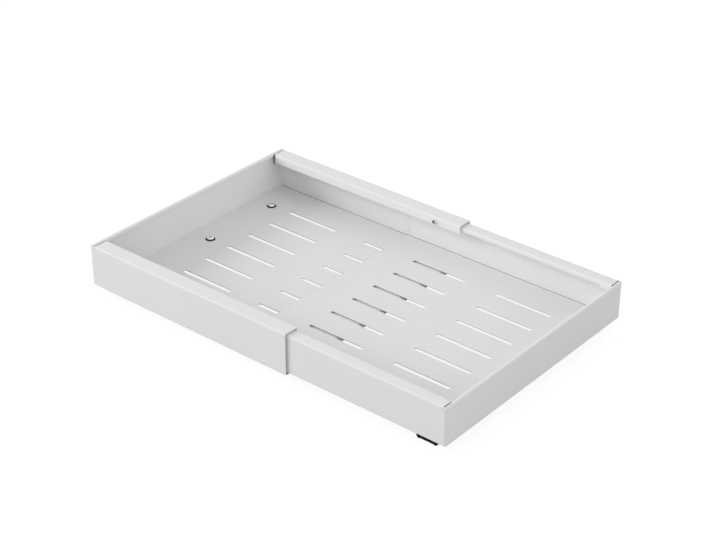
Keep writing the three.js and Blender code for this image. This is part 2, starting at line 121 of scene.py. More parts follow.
def joined(*patches):
    """Several patches of points and faces as one, each patch's faces counting on from the points before."""
    starts = np.cumsum([0] + [len(points) for points, _ in patches[:-1]])
    points = np.concatenate([points for points, _ in patches])
    return points, np.concatenate([faces + start for (_, faces), start in zip(patches, starts)])


def pierced(us, vs, holes=(), notches=()):
    """A flat sheet on the lines u and v, as flat points, faces and the rim of each hole. Around a hole the
    cells give way to a ring, whose inner points stand at the hole's radius from the nearest point of its
    straight middle, in the direction of the ring's outer points. The cells of a notch are left out."""
    flat = np.stack(np.meshgrid(us, vs, indexing="ij"), -1).reshape(-1, 2)
    corner = np.arange(len(flat)).reshape(us.size, vs.size)
    kept = np.ones((us.size - 1, vs.size - 1), bool)
    points, rings, rims = [flat], [], []

    def cells(low_u, high_u, low_v, high_v):
        return [*np.searchsorted(us, [low_u - WELD, high_u - WELD]),
                *np.searchsorted(vs, [low_v - WELD, high_v - WELD])]

    for notch in notches:
        i, k, j, m = cells(*notch)
        kept[i:k, j:m] = False
    for centre, straight, radius, cell in holes:
        i, k, j, m = cells(*cell)
        kept[i:k, j:m] = False
        border = np.concatenate([corner[i:k, j], corner[k, j:m], corner[k:i:-1, m], corner[i, m:j:-1]])
        away = flat[border] - centre
        middle = np.clip(away, -np.array(straight), straight)
        out = away - middle
        rim = centre + middle + radius * out / np.linalg.norm(out, axis=1, keepdims=True)
        inner = sum(map(len, points)) + np.arange(len(rim))
        rings.append(np.stack([border, np.roll(border, -1), np.roll(inner, -1), inner], 1))
        points.append(rim)
        rims.append(rim)
    quads = np.stack([corner[:-1, :-1], corner[1:, :-1], corner[1:, 1:], corner[:-1, 1:]], -1)
    return np.concatenate(points), np.concatenate([quads[kept], *rings]), rims


def rolled(section, across, along, holes=(), notches=()):
    """A strip pierced flat and then bent. A point's distance across the strip gives its place on the bent
    section, by distance along that section, and its place along the strip stays."""
    distance = reach(section)
    flat, faces, rims = pierced(lines(distance, across), lines(along), holes, notches)
    first, second = (np.interp(flat[:, 0], distance, section[:, k]) for k in (0, 1))
    return (np.stack([first, flat[:, 1], second], 1), faces), rims


def channel(section, web, ends, rows, hole, tab, plane):
    """A rail, and the tab at one of its ends, about the middle of its width. The strip is pierced in rows
    along its middle, left out where the tab is, and rolled to its section. The tab goes on from there along
    the web's level and round a corner onto its plane."""
    middle = reach(section)[-1] / 2
    margin = hole["margin"]
    inwards = np.sign(np.mean(ends) - plane)
    root = plane + inwards * tab["fold"]
    cut = (ends[0], root) if inwards > 0 else (root, ends[1])
    tab_edges = tab["half"] * np.array([-1, 1])
    notch = middle + (1 + TAB_SLIT / tab["half"]) * tab_edges
    strip, _ = rolled(
        section, lines(ticks(middle, 0, margin), notch, middle + tab_edges),
        lines([*ends, root], *(ticks(row, 0, margin) for row in rows)),
        [((middle, row), (0, 0), hole["radius"],
          (middle - margin, middle + margin, row - margin, row + margin)) for row in rows],
        [(*notch, *cut)])
    bend = fold([(root, web), (plane, web), (plane, tab["tip"])], [tab["fold"]])
    tab_lines = lines(ticks(0, 0, margin), tab_edges)
    tab_lines = tab_lines[abs(tab_lines) < tab["half"] + WELD]
    grid = np.stack(np.broadcast_arrays(tab_lines[:, None], bend[None, :, 0], bend[None, :, 1]), -1)
    return joined(strip, woven(grid))


def shown(name, data):
    """An object for a mesh, a lamp or a camera, put into the scene."""
    thing = bpy.data.objects.new(name, data)
    bpy.context.scene.collection.objects.link(thing)
    return thing


def made(name, shape, offset, material, sheet=0.0, edge=0.0):
    """Moves points by the offset, in millimetres, and puts them into a mesh in metres. What meets is welded,
    and the faces are turned one way. A middle surface then gets its sheet thickness to both sides, and
    sharp edges their rounding."""
    points, faces = shape
    used, faces = np.unique(faces, return_inverse=True)
    mesh = bpy.data.meshes.new(name)
    mesh.from_pydata(((points[used] + offset) * MM).tolist(), [], faces.reshape(-1, 4).tolist())
    work = bmesh.new()
    work.from_mesh(mesh)
    bmesh.ops.remove_doubles(work, verts=work.verts, dist=WELD * MM)
    bmesh.ops.recalc_face_normals(work, faces=work.faces)
    work.to_mesh(mesh)
    work.free()
    mesh.shade_smooth()
    mesh.materials.append(material)
    piece = shown(name, mesh)
    if sheet:
        thick = piece.modifiers.new("sheet", "SOLIDIFY")
        thick.thickness = sheet * MM
        thick.offset = 0
        thick.use_even_offset = True
    if edge:
        rounding = piece.modifiers.new("edge", "BEVEL")
        rounding.width = edge * MM
        rounding.segments = EDGE_STEPS
        rounding.limit_method = "ANGLE"
        rounding.angle_limit = SHARP
        rounding.use_clamp_overlap = False
        piece.modifiers.new("weld", "WELD").merge_threshold = WELD * MM
        piece.modifiers.new("shading", "WEIGHTED_NORMAL")
    return piece


class Socket:
    """An output socket of a material's nodes. Arithmetic on it adds Math nodes."""

    def __init__(self, tree, output):
        self.tree = tree
        self.output = output

    def node(self, kind, settings, inputs, output=0):
        """Adds a node of a kind, first its settings, then the values or links of its sockets."""
        node = self.tree.nodes.new(kind)
        for name, value in settings.items():
            setattr(node, name, value)
        for name, value in inputs.items():
            if isinstance(value, Socket):
                self.tree.links.new(value.output, node.inputs[name])
            else:
                node.inputs[name].default_value = value
        return Socket(self.tree, node.outputs[output]) if node.outputs else None

    def math(self, operation, *values):
        return self.node("ShaderNodeMath", {"operation": operation}, dict(enumerate(values)))

    def __add__(self, other):
        return self.math("ADD", self, other)

    __radd__ = __add__

    def __sub__(self, other):
        return self.math("SUBTRACT", self, other)

    def __rsub__(self, other):
        return self.math("SUBTRACT", other, self)

    def __mul__(self, other):
        return self.math("MULTIPLY", self, other)

    __rmul__ = __mul__

    def size(self):
        return self.math("ABSOLUTE", self)

    def root(self):
        return self.math("SQRT", self)

    def between(self, low, high):
        """Rises smoothly from 0 where the value is low to 1 where it is high."""
        settings = {"interpolation_type": "SMOOTHSTEP"}
        return self.node("ShaderNodeMapRange", settings, {"Value": self, "From Min": low, "From Max": high})

    def within(self, low, high, soft):
        """1 from low to high, and fading to 0 over the soft width beyond both."""
        return self.between(low - soft, low) * (1 - self.between(high, high + soft))

    def noise(self, scale, detail=2.0, roughness=0.5):
        values = {"Vector": self, "Scale": scale, "Detail": detail, "Roughness": roughness}
        return self.node("ShaderNodeTexNoise", {}, values, "Fac")

    def tint(self, dark, pale):
        """A colour that goes from the dark one to the pale one as the value goes from 0 to 1."""
        dark, pale = (c if isinstance(c, Socket) else (*c, 1) for c in (dark, pale))
        return self.node("ShaderNodeMix", {"data_type": "RGBA"}, {0: self, 6: dark, 7: pale}, 2)

    def relief(self, depth, strength=1.0):
        """A bump of that depth, in millimetres, with the value as its height."""
        values = {"Strength": strength, "Distance": depth * MM, "Height": self}
        return self.node("ShaderNodeBump", {}, values)


def new_finish(name):
    """A material with an empty node tree, and the Object coordinates that its patterns follow."""
    material = bpy.data.materials.new(name)
    material.use_nodes = True
    material.node_tree.nodes.clear()
    tree = Socket(material.node_tree, None)
    return material, tree.node("ShaderNodeTexCoord", {}, {}, "Object")


def surface(place, values):
    """Ends a material with a principled shader that has the given sockets."""
    shader = place.node("ShaderNodeBsdfPrincipled", {}, values)
    place.node("ShaderNodeOutputMaterial", {}, {"Surface": shader})


def axes(place):
    """The three coordinates of a place as separate values, in millimetres."""
    apart = place.node("ShaderNodeSeparateXYZ", {}, {"Vector": place}).output.node
    return [Socket(place.tree, output) * (1 / MM) for output in apart.outputs]


slide_middle = np.mean(span("right_cabinet_rail"), axis=0)[0]

black_coat, place = new_finish("satin_black_coat")
x, y, z = axes(place)
from_ball = (x.size() - slide_middle).size() - BALL_OFFSET
above_ball = z - BALL_HEIGHT
to_race = (from_ball * from_ball + above_ball * above_ball).root()
drawn_out = place.node("ShaderNodeVectorMath", {"operation": "MULTIPLY"}, {0: place, 1: STREAK_SCALE})
streaks = drawn_out.noise(scale=1.0, detail=3.0)
grain = place.noise(scale=1500, detail=1.0)
rolled_over = y.between(*WORN["front"]) * (1 - y.between(*WORN["back"]))
worn = (1 - to_race.between(*WORN["race"])) * streaks.between(*WORN["streaks"]) * rolled_over
coat_colour = (0.7 * streaks + 0.3 * grain).tint(BLACK_COAT["deep"], BLACK_COAT["thin_coat_and_shade"])
surface(place, {
    "Base Color": worn.tint(coat_colour, BLACK_COAT["worn"]),
    "Metallic": worn,
    "Specular IOR Level": 0.3,
    "Roughness": 0.34 + 0.16 * grain + 0.08 * streaks - 0.16 * worn,
    "Normal": (grain + 0.6 * streaks).relief(depth=0.02, strength=0.5),
})

curl_run = RACE_MIDDLE * np.tan(CURL / 2)
for side in ("left", "right"):
    low, high = span(f"{side}_cabinet_rail")
    wall = (high[0] - low[0] - RAIL_SHEET) / 2
    web = low[2] + RAIL_SHEET / 2
    curl = np.array([wall, BALL_HEIGHT + curl_run])
    edge = curl + (curl_run + STRIP_EDGE) * np.array([-np.sin(CURL), np.cos(CURL)])
    section = fold(both_sides([edge, curl, (wall, web)]), [RACE_MIDDLE] * 4)
    ends = (low[1], high[1])
    rows = np.mean(ends) + CABINET_HOLES["pitch"] * np.array([-1, 0, 1])
    plane = low[1] + RAIL_SHEET / 2
    shape = channel(section, web, ends, rows, CABINET_HOLES, CABINET_TAB, plane)
    offset = (low + high) / 2 * (1, 0, 0)
    rail = made(f"{side}_cabinet_channel", shape, offset, black_coat, RAIL_SHEET, RAIL_EDGE_ROUND)
    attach(rail, f"{side}_base")
    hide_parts(f"{side}_cabinet_rail")

# Rear bumpers: soft blocks at the back of the cabinet rails that the pushed-in drawer rails come up to.
# Moulded black rubber, pressed between the rail's sides.
# A rounded block whose section closes towards each end, with two grooves round it that let it give.
BUMPER_CORNER = 1.5
BUMPER_END_ROUND = 0.7
BUMPER_GROOVE = {"depth": 0.35, "half_width": 0.45, "places": (-1.4, 1.4)}
RUBBER = {"deep": (0.010, 0.010, 0.0105), "bloom": (0.026, 0.026, 0.027)}


def rounded_rectangle(width, height, radius, steps=6):
    """Outline of a rectangle with round corners: each corner's centre plus the radius along an angle that
    turns through a quarter circle there."""
    turn = np.radians(np.linspace(0, 90, steps + 1)) + np.radians([[0], [90], [180], [270]])
    centres = np.array([[1, 1], [-1, 1], [-1, -1], [1, -1]]) * (width / 2 - radius, height / 2 - radius)
    return (centres[:, None] + radius * np.stack([np.cos(turn), np.sin(turn)], -1)).reshape(-1, 2)


rubber, place = new_finish("moulded_rubber")
skin = place.noise(scale=2200, detail=2.0)
bloom = place.noise(scale=180, detail=3.0)
surface(place, {
    "Base Color": bloom.tint(RUBBER["deep"], RUBBER["bloom"]),
    "Roughness": 0.66 + 0.14 * skin + 0.10 * bloom,
    "Normal": skin.relief(depth=0.03, strength=0.6),
})

end_turn = np.radians(np.linspace(0, 90, 6))
inset = BUMPER_END_ROUND * (1 - np.cos(end_turn))
across_groove = np.linspace(-1, 1, 7)
sunk = BUMPER_GROOVE["depth"] * np.cos(across_groove * np.pi / 2) ** 2
inner = np.concatenate(
    [middle + BUMPER_GROOVE["half_width"] * across_groove for middle in BUMPER_GROOVE["places"]])
for side in ("left", "right"):
    low, high = span(f"{side}_rear_bumper")
    width, length, height = high - low
    cap = length / 2 - BUMPER_END_ROUND * (1 - np.sin(end_turn))
    runs = np.concatenate([[-length / 2], -cap[::-1], inner, cap, [length / 2]])
    insets = np.concatenate([[height], inset[::-1], sunk, sunk, inset, [height]])
    outline = rounded_rectangle(width, height, BUMPER_CORNER)
    shrink = np.maximum(1 - 2 * insets[:, None, None] / (width, height), 0)
    ring = outline[None] * shrink
    run = np.broadcast_to(runs[:, None], ring.shape[:2])
    shape = woven(np.stack([ring[..., 0], run, ring[..., 1]], -1), closed=True)
    bumper = made(f"{side}_bumper_block", shape, (low + high) / 2, rubber)
    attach(bumper, f"{side}_base")
    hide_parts(f"{side}_rear_bumper")

# Ball cages: thin channels that keep the balls apart and roll along between the two rails.
# Zinc-plated steel strip, half a millimetre thick.
# A window for each ball is pierced in the flat strip, and the two sides are then folded up.
CAGE_SHEET = 0.5
CAGE_FOLD = 0.6
CAGE_EDGE_ROUND = 0.08
BALLS_PER_ROW = 5
BALL_PITCH = 15.0
WINDOW = {"radius": 2.2, "straight": 0.3, "margin": 3.6}
SCREW_ROWS = {"front": -108.0, "middle": 0.0, "back": 108.0}
ZINC = {"dull": (0.52, 0.535, 0.56), "bright": (0.74, 0.75, 0.765)}


def from_screw(x, y):
    """Distances from the axis of the nearest tray screw: along X, along Y, and the root of their squares."""
    off_x = x.size() - slide_middle
    row_number = y * (1 / SCREW_ROWS["back"])
    off_y = y - SCREW_ROWS["back"] * row_number.math("ROUND", row_number)
    return off_x, off_y, (off_x * off_x + off_y * off_y).root()


def turning_marks(from_axis, rise, scale):
    """Fine rings round an axis: a noise of the distance from it and the rise along it."""
    ring = from_axis.node("ShaderNodeCombineXYZ", {}, {"X": from_axis, "Y": rise})
    return ring.noise(scale, detail=1.0)


zinc, place = new_finish("zinc_plate")
x, y, z = axes(place)
turning = turning_marks(from_screw(x, y)[2], rise=z * 0.6, scale=9.0)
mottle = place.noise(scale=420, detail=3.0)
cloud = place.noise(scale=60, detail=2.0)
surface(place, {
    "Base Color": (0.6 * mottle + 0.4 * cloud).tint(ZINC["dull"], ZINC["bright"]),
    "Metallic": 1.0,
    "Roughness": 0.20 + 0.14 * mottle + 0.10 * turning,
    "Normal": (turning + 0.5 * mottle).relief(depth=0.012, strength=0.4),
})

for side in ("left", "right"):
    low, high = span(f"{side}_ball_cage")
    centre = (low + high) / 2
    wall = (high[0] - low[0] - CAGE_SHEET) / 2
    web = low[2] + CAGE_SHEET / 2
    section = fold(both_sides([(wall, high[2]), (wall, web)]), [CAGE_FOLD] * 2)
    total = reach(section)[-1]
    drop = high[2] - BALL_HEIGHT
    columns = (drop, total - drop)
    rows = centre[1] + BALL_PITCH * (np.arange(BALLS_PER_ROW) - (BALLS_PER_ROW - 1) / 2)
    straight, margin = WINDOW["straight"], WINDOW["margin"]
    shape, _ = rolled(
        section,
        lines(*(ticks(column, straight, drop - straight) for column in columns)),
        lines([low[1], high[1]], *(ticks(row, 0, margin) for row in rows)),
        [((column, row), (straight, 0), WINDOW["radius"],
          (column - drop, column + drop, row - margin, row + margin))
         for column in columns for row in rows])
    offset = centre * (1, 0, 0)
    cage = made(f"{side}_cage_strip", shape, offset, zinc, CAGE_SHEET, CAGE_EDGE_ROUND)
    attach(cage, f"{side}_cage")
    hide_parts(f"{side}_ball_cage")

# Balls: five on each side of each slide, between the races of the two rails.
# Hardened steel, ground and lapped to a mirror.
# Spheres by longitude and latitude, each in its window of the cage.
BALL_RADIUS = 2.0
BALL_GRID = {"around": 32, "along": 17}
BALL_STEEL = {"filmed": (0.62, 0.63, 0.65), "clean": (0.78, 0.79, 0.80)}

ball_steel, place = new_finish("lapped_ball_steel")
lapping = place.noise(scale=2600, detail=1.0)
film = place.noise(scale=500, detail=2.0)
surface(place, {
    "Base Color": film.tint(BALL_STEEL["filmed"], BALL_STEEL["clean"]),
    "Metallic": 1.0,
    "Roughness": 0.05 + 0.06 * film + 0.03 * lapping,
    "Normal": lapping.relief(depth=0.003, strength=0.3),
})

around = np.linspace(0, 2 * np.pi, BALL_GRID["around"], endpoint=False)
along = np.linspace(0, np.pi, BALL_GRID["along"])[:, None]
sphere = BALL_RADIUS * np.stack(np.broadcast_arrays(
    np.sin(along) * np.cos(around), np.sin(along) * np.sin(around), np.cos(along)), -1)
shape = woven(sphere, closed=True)
for side in ("left", "right"):
    for number in range(1, 2 * BALLS_PER_ROW + 1):
        low, high = span(f"{side}_ball_{number}")
        ball = made(f"{side}_steel_ball_{number}", shape, (low + high) / 2, ball_steel)
        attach(ball, f"{side}_cage")
        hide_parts(f"{side}_ball_{number}")

# Drawer rails: the moving upper channels of the slides, each bolted under one half of the tray.
# The same coated strip as the cabinet rails, with sloping sides that carry the inner races.
# The strip is pierced for the tray screws and folded, and a stop tab is bent down at its rear.
LEAN = np.radians(30)
FLARE = np.radians(25)
TOP_FOLD = 1.2
SCREW_HOLE = {"radius": 2.4, "margin": 5.0}
DRAWER_TAB = {"half": 4.0, "inset": 1.1, "fold": 1.2, "tip": 1.6}

race_turn = LEAN + FLARE
bearing = np.pi + (FLARE - LEAN) / 2
waist = np.array([BALL_OFFSET, BALL_HEIGHT]) + RACE_MIDDLE / np.cos(race_turn / 2) * np.array(
    [np.cos(bearing), np.sin(bearing)])
flare_run = RACE_MIDDLE * np.tan(race_turn / 2) + STRIP_EDGE
flare_edge = waist + flare_run * np.array([np.sin(FLARE), -np.cos(FLARE)])
for side in ("left", "right"):
    low, high = span(f"{side}_drawer_rail")
    web = high[2] - RAIL_SHEET / 2
    shoulder = (waist[0] + (web - waist[1]) * np.tan(LEAN), web)
    folds = [RACE_MIDDLE, TOP_FOLD, TOP_FOLD, RACE_MIDDLE]
    section = fold(both_sides([flare_edge, waist, shoulder]), folds)
    rows = np.array(list(SCREW_ROWS.values()))
    plane = high[1] - DRAWER_TAB["inset"]
    shape = channel(section, web, (low[1], high[1]), rows, SCREW_HOLE, DRAWER_TAB, plane)
    offset = (low + high) / 2 * (1, 0, 0)
    rail = made(f"{side}_drawer_channel", shape, offset, black_coat, RAIL_SHEET, RAIL_EDGE_ROUND)
    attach(rail, f"{side}_half")
    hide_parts(f"{side}_drawer_rail")

# Slide nuts and spacers: a nut under each tray screw inside the drawer rail, and on the right a ring
# between rail and floor, because the inner half's floor lies a step higher. Zinc-plated steel.
# Hexagons with their corners turned off at both ends, and rings with rounded edges.
NUT_BORE = 2.3
NUT_CROWN = {"start": 3.35, "slope": np.tan(np.radians(30)), "drop": 0.02}
NUT_EDGE_ROUND = 0.06
BORE_CHAMFER = 0.3
SPACER_BORE = 2.4
SPACER_ROUND = 0.35
TURNS = 72


def hexagon_radius(across_flats, angle):
    """Distance from the middle of a hexagon to its edge: half the width across its flats, over the cosine
    of the angle from the nearest flat's middle."""
    sixth = np.pi / 3
    return across_flats / 2 / np.cos((angle + sixth / 2) % sixth - sixth / 2)


def turned(radius, height, angle):
    """Rows of points round the Z axis, from their radii and heights at each angle."""
    radius, height, angle = np.broadcast_arrays(radius, height, angle)
    return np.stack([radius * np.cos(angle), radius * np.sin(angle), height], -1)


def ring_closed(rows):
    """A ring-shaped surface: the rows of a round grid, the last joined to the first."""
    return woven(np.concatenate([rows, rows[:1]]), closed=True)


def foot(low, high):
    """The middle of the underside of a box, from its lowest and highest corners."""
    return np.array([*(low + high)[:2] / 2, low[2]])


angle = np.linspace(0, 2 * np.pi, TURNS, endpoint=False)
for side in ("left", "right"):
    for row in SCREW_ROWS:
        low, high = span(f"{side}_slide_nut_{row}")
        tall = high[2] - low[2]
        flats = min(high[0] - low[0], high[1] - low[1])
        pointed = hexagon_radius(flats, angle + (0 if high[0] - low[0] < high[1] - low[1] else np.pi / 6))
        crown = NUT_CROWN["drop"] + np.maximum(pointed - NUT_CROWN["start"], 0) * NUT_CROWN["slope"]
        radii = [NUT_BORE, NUT_BORE, NUT_BORE + BORE_CHAMFER, NUT_CROWN["start"], pointed, pointed,
                 NUT_CROWN["start"], NUT_BORE + BORE_CHAMFER]
        heights = [BORE_CHAMFER, tall - BORE_CHAMFER, tall, tall, tall - crown, crown, 0, 0]
        shape = ring_closed(np.stack([turned(r, h, angle) for r, h in zip(radii, heights)]))
        nut = made(f"{side}_hexagon_nut_{row}", shape, foot(low, high), zinc, edge=NUT_EDGE_ROUND)
        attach(nut, f"{side}_half")
        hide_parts(f"{side}_slide_nut_{row}")

edge_turn = np.radians(np.linspace(0, 90, 5))
near, far = SPACER_ROUND * (1 - np.sin(edge_turn)), SPACER_ROUND * (1 - np.cos(edge_turn))
for row in SCREW_ROWS:
    low, high = span(f"right_spacer_{row}")
    wide, tall = (high[0] - low[0]) / 2, high[2] - low[2]
    radii = np.concatenate([wide - near, wide - far, SPACER_BORE + near, SPACER_BORE + far])
    heights = np.concatenate([far, tall - near, tall - far, near])
    shape = ring_closed(turned(radii[:, None], heights[:, None], angle))
    spacer = made(f"right_spacer_ring_{row}", shape, foot(low, high), zinc)
    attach(spacer, "right_half")
    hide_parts(f"right_spacer_{row}")

# Left tray half: the outer, lower half, which carries the other one.
# Sheet steel with a white powder coat, and slots in its floor for air and crumbs.
# Pierced flat and folded: a floor, three walls, a hem on the end wall, and lipped flanges front and back.
TRAY_SHEET = 1.2
TRAY_EDGE_ROUND = 0.22
HALF_SHEET = TRAY_SHEET / 2
WALL_OUT = 1.8
FOOT_INSET = HALF_SHEET + WALL_OUT
FOLD_MIDDLE = 1.0
HEM_DROP = 3.3
CORNER_TURN = np.radians(np.linspace(0, 90, 7))
SLOT = {"straight": 35.0, "radius": 2.5, "margin": 6.5, "columns": (95.5, 212.5)}
SLOT_ROWS = 36.6 * np.arange(-3, 4)
SCREW_INSET = 30.5
SCORE = {"inset": 0.55, "half_width": 0.55, "depth": 0.45, "from_end": 1.0}
LEFT_FLANGE = {"width": 19.5, "lip": 10.5, "start": 6.9, "lip_start": 8.6}
WALL_SLIT = 0.3
LEFT_HEM = {"width": 5.2, "inner_fold": 1.0, "half": 157.2, "roll_half": 158.4}
# Painted shade: each pocket dictionary gives where a dark tone is painted into the end corner pockets, how
# deep and how strong, and how strong it is along the open wall edge.
LEFT_POCKET_SHADE = {"end": 8.6, "side": 15.4, "hem_side": 19.3, "deep": 14.0, "share": 0.75, "rim": 0.0}
EDGE_DIP = {"drop": 2.2, "run": 7.5, "full_half": 148.0, "half": 152.5}
LOCK = {"from_end": 256.0, "height": 44.6, "margin": 4.05}
COLLAR = {"radius": 3.0, "fillet": 0.65, "height": 1.8, "steps": 4}
# The darkest of the white coat's colours is painted shade, used in the corner pockets, along the scored
# lines and along the open wall edge.
WHITE_COAT = {"shade": (0.765, 0.766, 0.768), "pale": (0.795, 0.796, 0.797), "thin_coat_and_shade": (0.15, 0.15, 0.155)}
POCKET_SHADE = {"wall": 1.1, "hem": 4.7, "soft": 0.3, "top": (0.6, 1.2), "fade": 4.0}
# Painted shade along the score line at the foot of the walls: where it lies and how dark it is.
SCORE_SHADE = {"side": (2.6, 3.3, 0.25), "rise": (0.6, 1.25, 0.15), "end": (2.4, 4.0), "share": 0.95}
# Painted shadow along the open edge of the walls, used on the right half only.
OPEN_EDGE_SHADE = {"width": (0.0, 1.5, 0.8), "rise": (2.0, 3.0)}


def smooth_step(part):
    """Rises smoothly from 0 to 1 as the part goes from 0 to 1: 3 parts squared less 2 parts cubed."""
    part = np.clip(part, 0, 1)
    return part * part * (3 - 2 * part)


def stand(feet, outwards, line):
    """A wall on a row of feet: each foot goes outwards by the line's first number and up to its second."""
    level = feet[:, None] + outwards[:, None] * line[None, :, :1]
    rise = np.broadcast_to(line[None, :, 1:], (*level.shape[:2], 1))
    return woven(np.concatenate([level, rise], 2))


def end_strip(ys, line):
    """A strip of the end wall: the line stood on feet at the given places along it."""
    feet = np.column_stack([np.full(ys.size, FOOT_INSET), ys])
    return stand(feet, np.tile([-1, 0], (ys.size, 1)), line)


def floor_sheet(xs, ys, dip=0.0):
    """The floor, pierced with round-ended slots in columns and rows and with the screw holes. A score line
    along each side sinks as a squared cosine across its width. At the open end the floor can dip, by a
    smooth step along the last few millimetres that fades out before the sides."""
    margin = SLOT["margin"]
    ends = SLOT["straight"] + margin
    slots = [((x, y), (SLOT["straight"], 0), SLOT["radius"], (x - ends, x + ends, y - margin, y + margin))
             for x in SLOT["columns"] for y in SLOT_ROWS]
    nearest = [SLOT_ROWS[np.argmin(abs(SLOT_ROWS - y))] for y in SCREW_ROWS.values()]
    screws = [((SCREW_INSET, y), (0, 0), SCREW_HOLE["radius"],
               (SCREW_INSET - margin, SCREW_INSET + margin, row - margin, row + margin))
              for y, row in zip(SCREW_ROWS.values(), nearest)]
    flat, faces, _ = pierced(xs, ys, slots + screws)
    x, y = flat[:, 0], abs(flat[:, 1])
    off = np.clip((y - ys[-1] + SCORE["inset"]) / SCORE["half_width"], -1, 1)
    scored = (x > xs[0] + SCORE["from_end"]) & (x < xs[-1] - WELD)
    score = SCORE["depth"] * np.cos(off * np.pi / 2) ** 2 * scored
    run = smooth_step((x - xs[-1] + EDGE_DIP["run"]) / EDGE_DIP["run"])
    fade = smooth_step((EDGE_DIP["half"] - y) / (EDGE_DIP["half"] - EDGE_DIP["full_half"]))
    return np.column_stack([flat, HALF_SHEET - score - dip * run * fade]), faces


def wall_ring(xs, ys, top):
    """The three walls up to a level, on feet along the front, the end and the back of the floor. The foot
    stays at a corner while the outward direction turns, so each corner is round. The section starts with
    the bottom fold."""
    turn = CORNER_TURN
    foot_half = ys[-1]
    feet = np.concatenate([
        np.column_stack([xs[::-1], np.full(xs.size, -foot_half)]),
        np.tile([xs[0], -foot_half], (turn.size, 1)),
        np.column_stack([np.full(ys.size, xs[0]), ys]),
        np.tile([xs[0], foot_half], (turn.size, 1)),
        np.column_stack([xs, np.full(xs.size, foot_half)])])
    outwards = np.concatenate([
        np.tile([0, -1], (xs.size, 1)), np.column_stack([-np.sin(turn), -np.cos(turn)]),
        np.tile([-1, 0], (ys.size, 1)), np.column_stack([-np.cos(turn), np.sin(turn)]),
        np.tile([0, 1], (xs.size, 1))])
    line = fold([(0, HALF_SHEET), (WALL_OUT, HALF_SHEET), (WALL_OUT, top)], [FOLD_MIDDLE])
    return stand(feet, outwards, line)


def corner_posts(foot_half, level, height, stub):
    """The plain upper corners of the walls: a stub on the front or back wall, and the round corner."""
    turn = CORNER_TURN
    line = np.array([(WALL_OUT, level), (WALL_OUT, height)])
    patches = []
    for sign in (-1, 1):
        feet = np.concatenate([
            np.column_stack([stub[::-1], np.full(stub.size, sign * foot_half)]),
            np.tile([FOOT_INSET, sign * foot_half], (turn.size, 1))])
        outwards = np.concatenate([
            np.tile([0, sign], (stub.size, 1)), np.column_stack([-np.sin(turn), sign * np.cos(turn)])])
        patches.append(stand(feet, outwards, line))
    return patches


def hem_line(level, height, width, inner_fold):
    """Section of the hem: up the wall, in over its width, and down to the same level."""
    top = height - HALF_SHEET
    inner = WALL_OUT + TRAY_SHEET - width
    corners = [(WALL_OUT, level), (WALL_OUT, top), (inner, top), (inner, level)]
    return fold(corners, [FOLD_MIDDLE, inner_fold])


def flange_line(level, height, width, lip):
    """Section of a flange: up the wall, in along the top, and down as a lip."""
    top = height - HALF_SHEET
    inner = FOOT_INSET + HALF_SHEET - width
    corners = [(WALL_OUT, level), (WALL_OUT, top), (inner, top), (inner, height - lip)]
    return fold(corners, [FOLD_MIDDLE] * 2)


def powder_coat(name, low, high, painted_shade):
    """White powder coat for one half of the tray, between its lowest and highest corners. A dark grey tone
    is painted in as shade in the pockets of the end corners, along the scored lines and, on one half,
    faintly along the open edge of the walls."""
    material, place = new_finish(name)
    x, y, z = axes(place)
    from_end = (x - max(low[0], high[0], key=abs)).size()
    from_side = high[1] - y.size()
    below, above = high[2] - z, z - low[2]
    wall, soft, deep = POCKET_SHADE["wall"], POCKET_SHADE["soft"], painted_shade["deep"]
    # Painted shade in the end corner pockets: by the end wall and by the hem, fading out below the top.
    by_wall, by_hem = (
        from_end.within(start, painted_shade["end"], soft) * from_side.within(wall, painted_shade[width], soft)
        for start, width in ((wall, "side"), (POCKET_SHADE["hem"], "hem_side")))
    depth = below.between(*POCKET_SHADE["top"]) * (1 - below.between(deep, deep + POCKET_SHADE["fade"]))
    pocket_shade = painted_shade["share"] * depth * by_wall.math("MAXIMUM", by_wall, by_hem)
    # Painted shade along the score lines, on top of the real shallow groove.
    scored = from_side.within(*SCORE_SHADE["side"]) * above.within(*SCORE_SHADE["rise"])
    scored = SCORE_SHADE["share"] * scored * from_end.between(*SCORE_SHADE["end"])
    # Painted shadow: a faint dark band along the open wall edge, standing for the shadow where that edge
    # meets the other half's wall.
    from_open = high[0] - low[0] - from_end
    rim = painted_shade["rim"] * from_open.within(*OPEN_EDGE_SHADE["width"]) * above.between(*OPEN_EDGE_SHADE["rise"])
    peel = place.noise(scale=700, detail=2.0, roughness=0.45)
    cloud = place.noise(scale=9, detail=2.0)
    speck = place.noise(scale=2600, detail=1.0)
    tone = (0.55 * cloud + 0.3 * peel + 0.15 * speck).between(low=0.25, high=0.75)
    coat = tone.tint(WHITE_COAT["shade"], WHITE_COAT["pale"])
    surface(place, {
        "Base Color": (pocket_shade + scored + rim).tint(coat, WHITE_COAT["thin_coat_and_shade"]),
        "Specular IOR Level": 0.32,
        "Roughness": 0.54 + 0.10 * peel + 0.08 * cloud,
        "Normal": (peel + 0.25 * speck).relief(depth=0.03, strength=0.22),
    })
    return material


